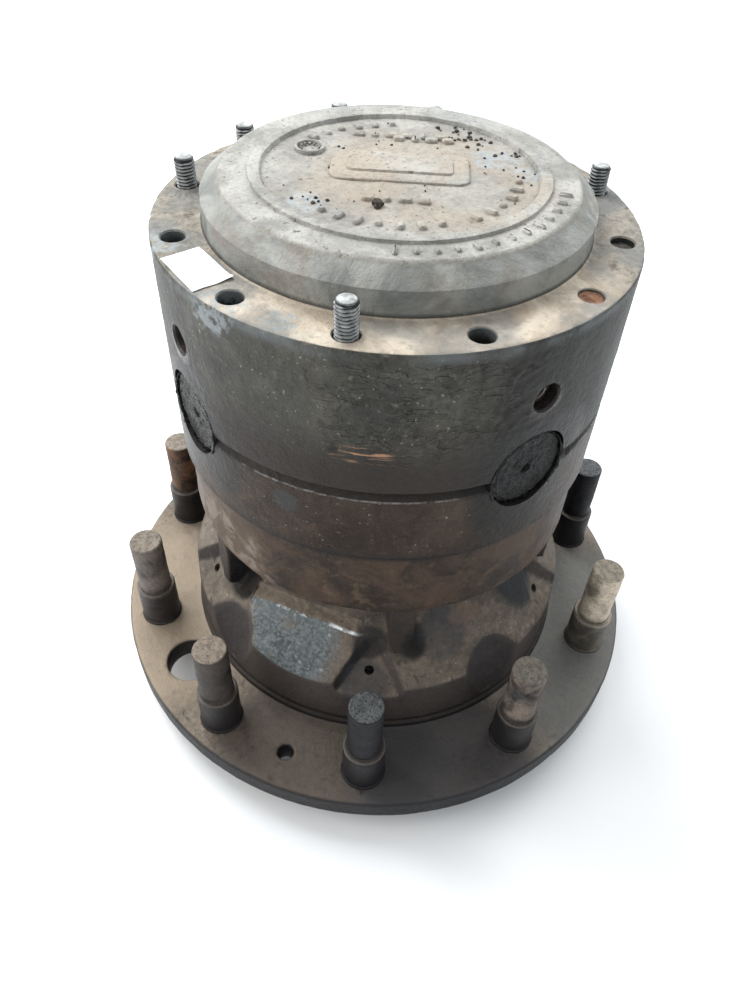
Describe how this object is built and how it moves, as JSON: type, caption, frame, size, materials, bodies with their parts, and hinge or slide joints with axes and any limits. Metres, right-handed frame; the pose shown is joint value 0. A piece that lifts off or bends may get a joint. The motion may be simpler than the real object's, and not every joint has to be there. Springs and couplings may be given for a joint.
{
  "type": "planetary wheel-hub gearbox",
  "caption": "Heavy-vehicle wheel hub with a built-in bevel-planet reduction: flanged hub with wheel studs, split case, domed cover, sun, planets and reaction gear.",
  "frame": {"origin": "centre of the bounding box's bottom face, under the hub's foot ring", "axes": "+Z along the hub axis from the axle side to the domed cover; +X and +Y along two of the four spider pins"},
  "size_m": [0.3826, 0.3826, 0.361],
  "materials": {
    "axle_sleeve_mat": "machined steel",
    "case_ring_mat": "dark greasy cast iron",
    "casing_stud_1_mat": "dark oxidised steel",
    "casing_stud_2_mat": "dark oxidised steel",
    "casing_stud_3_mat": "dark oxidised steel",
    "casing_stud_4_mat": "dark oxidised steel",
    "casing_stud_5_mat": "dark oxidised steel",
    "casing_stud_6_mat": "dark oxidised steel",
    "drive_sun_gear_mat": "machined steel",
    "gear_nut_mat": "dark oxidised steel",
    "hub_band_mat": "oily dust-brown cast iron",
    "hub_neck_mat": "oily dust-brown cast iron",
    "hub_seal_mat": "oil-proof rubber",
    "inner_bearing_cone_mat": "ground bearing steel",
    "inner_bearing_cup_mat": "ground bearing steel",
    "inner_bearing_rollers_mat": "ground bearing steel",
    "oil_plug_1_mat": "dark oxidised steel",
    "oil_plug_2_mat": "dark oxidised steel",
    "oil_plug_3_mat": "dark oxidised steel",
    "oil_plug_4_mat": "dark oxidised steel",
    "outer_bearing_cone_mat": "ground bearing steel",
    "outer_bearing_cup_mat": "ground bearing steel",
    "outer_bearing_rollers_mat": "ground bearing steel",
    "outer_cover_mat": "dusty cast iron",
    "planet_bush_1_mat": "bearing bronze",
    "planet_bush_2_mat": "bearing bronze",
    "planet_bush_3_mat": "bearing bronze",
    "planet_bush_4_mat": "bearing bronze",
    "planet_gear_1_mat": "machined steel",
    "planet_gear_2_mat": "machined steel",
    "planet_gear_3_mat": "machined steel",
    "planet_gear_4_mat": "machined steel",
    "planet_thrust_washer_1_mat": "bearing bronze",
    "planet_thrust_washer_2_mat": "bearing bronze",
    "planet_thrust_washer_3_mat": "bearing bronze",
    "planet_thrust_washer_4_mat": "bearing bronze",
    "reaction_gear_mat": "machined steel",
    "reaction_thrust_washer_mat": "bearing bronze",
    "sleeve_nut_mat": "dark oxidised steel",
    "spider_mat": "machined steel",
    "sun_thrust_washer_mat": "bearing bronze",
    "wheel_flange_mat": "oily dust-brown cast iron",
    "wheel_stud_1_mat": "dark oxidised steel",
    "wheel_stud_10_mat": "dark oxidised steel",
    "wheel_stud_2_mat": "dark oxidised steel",
    "wheel_stud_3_mat": "dark oxidised steel",
    "wheel_stud_4_mat": "dark oxidised steel",
    "wheel_stud_5_mat": "dark oxidised steel",
    "wheel_stud_6_mat": "dark oxidised steel",
    "wheel_stud_7_mat": "dark oxidised steel",
    "wheel_stud_8_mat": "dark oxidised steel",
    "wheel_stud_9_mat": "dark oxidised steel"
  },
  "bodies": {
    "hub": {"case_ring": "case_ring_mat", "casing_stud_1": "casing_stud_1_mat", "casing_stud_2": "casing_stud_2_mat", "casing_stud_3": "casing_stud_3_mat", "casing_stud_4": "casing_stud_4_mat", "casing_stud_5": "casing_stud_5_mat", "casing_stud_6": "casing_stud_6_mat", "hub_band": "hub_band_mat", "hub_neck": "hub_neck_mat", "hub_seal": "hub_seal_mat", "inner_bearing_cup": "inner_bearing_cup_mat", "oil_plug_1": "oil_plug_1_mat", "oil_plug_2": "oil_plug_2_mat", "oil_plug_3": "oil_plug_3_mat", "oil_plug_4": "oil_plug_4_mat", "outer_bearing_cup": "outer_bearing_cup_mat", "outer_cover": "outer_cover_mat", "planet_thrust_washer_1": "planet_thrust_washer_1_mat", "planet_thrust_washer_2": "planet_thrust_washer_2_mat", "planet_thrust_washer_3": "planet_thrust_washer_3_mat", "planet_thrust_washer_4": "planet_thrust_washer_4_mat", "reaction_thrust_washer": "reaction_thrust_washer_mat", "spider": "spider_mat", "sun_thrust_washer": "sun_thrust_washer_mat", "wheel_flange": "wheel_flange_mat", "wheel_stud_1": "wheel_stud_1_mat", "wheel_stud_10": "wheel_stud_10_mat", "wheel_stud_2": "wheel_stud_2_mat", "wheel_stud_3": "wheel_stud_3_mat", "wheel_stud_4": "wheel_stud_4_mat", "wheel_stud_5": "wheel_stud_5_mat", "wheel_stud_6": "wheel_stud_6_mat", "wheel_stud_7": "wheel_stud_7_mat", "wheel_stud_8": "wheel_stud_8_mat", "wheel_stud_9": "wheel_stud_9_mat"},
    "axle_side": {"reaction_gear": "reaction_gear_mat", "axle_sleeve": "axle_sleeve_mat", "sleeve_nut": "sleeve_nut_mat", "gear_nut": "gear_nut_mat", "outer_bearing_cone": "outer_bearing_cone_mat", "inner_bearing_cone": "inner_bearing_cone_mat"},
    "sun": {"drive_sun_gear": "drive_sun_gear_mat"},
    "planet_1": {"planet_gear_1": "planet_gear_1_mat", "planet_bush_1": "planet_bush_1_mat"},
    "planet_2": {"planet_gear_2": "planet_gear_2_mat", "planet_bush_2": "planet_bush_2_mat"},
    "planet_3": {"planet_gear_3": "planet_gear_3_mat", "planet_bush_3": "planet_bush_3_mat"},
    "planet_4": {"planet_gear_4": "planet_gear_4_mat", "planet_bush_4": "planet_bush_4_mat"},
    "outer_rollers": {"outer_bearing_rollers": "outer_bearing_rollers_mat"},
    "inner_rollers": {"inner_bearing_rollers": "inner_bearing_rollers_mat"}
  },
  "joints": [
    {"name": "axle_spin", "type": "hinge", "parent": "hub", "child": "axle_side", "pos_m": [0, 0, 0.2525], "axis": [0, 0, 1], "continuous": true},
    {"name": "sun_spin", "type": "hinge", "parent": "hub", "child": "sun", "pos_m": [0, 0, 0.2525], "axis": [0, 0, 1], "continuous": true},
    {"name": "planet_1_spin", "type": "hinge", "parent": "hub", "child": "planet_1", "pos_m": [0, 0, 0.2525], "axis": [1, 0, 0], "continuous": true},
    {"name": "planet_2_spin", "type": "hinge", "parent": "hub", "child": "planet_2", "pos_m": [0, 0, 0.2525], "axis": [0, 1, 0], "continuous": true},
    {"name": "planet_3_spin", "type": "hinge", "parent": "hub", "child": "planet_3", "pos_m": [0, 0, 0.2525], "axis": [-1, 0, 0], "continuous": true},
    {"name": "planet_4_spin", "type": "hinge", "parent": "hub", "child": "planet_4", "pos_m": [0, 0, 0.2525], "axis": [0, -1, 0], "continuous": true},
    {"name": "outer_rollers_spin", "type": "hinge", "parent": "hub", "child": "outer_rollers", "pos_m": [0, 0, 0.156], "axis": [0, 0, 1], "continuous": true},
    {"name": "inner_rollers_spin", "type": "hinge", "parent": "hub", "child": "inner_rollers", "pos_m": [0, 0, 0.052], "axis": [0, 0, 1], "continuous": true}
  ],
  "couplings": [
    {"joint": "sun_spin", "follows": "axle_spin", "ratio": -1},
    {"joint": "planet_1_spin", "follows": "axle_spin", "ratio": 1.5},
    {"joint": "planet_2_spin", "follows": "axle_spin", "ratio": 1.5},
    {"joint": "planet_3_spin", "follows": "axle_spin", "ratio": 1.5},
    {"joint": "planet_4_spin", "follows": "axle_spin", "ratio": 1.5},
    {"joint": "outer_rollers_spin", "follows": "axle_spin", "ratio": 0.44},
    {"joint": "inner_rollers_spin", "follows": "axle_spin", "ratio": 0.45}
  ]
}
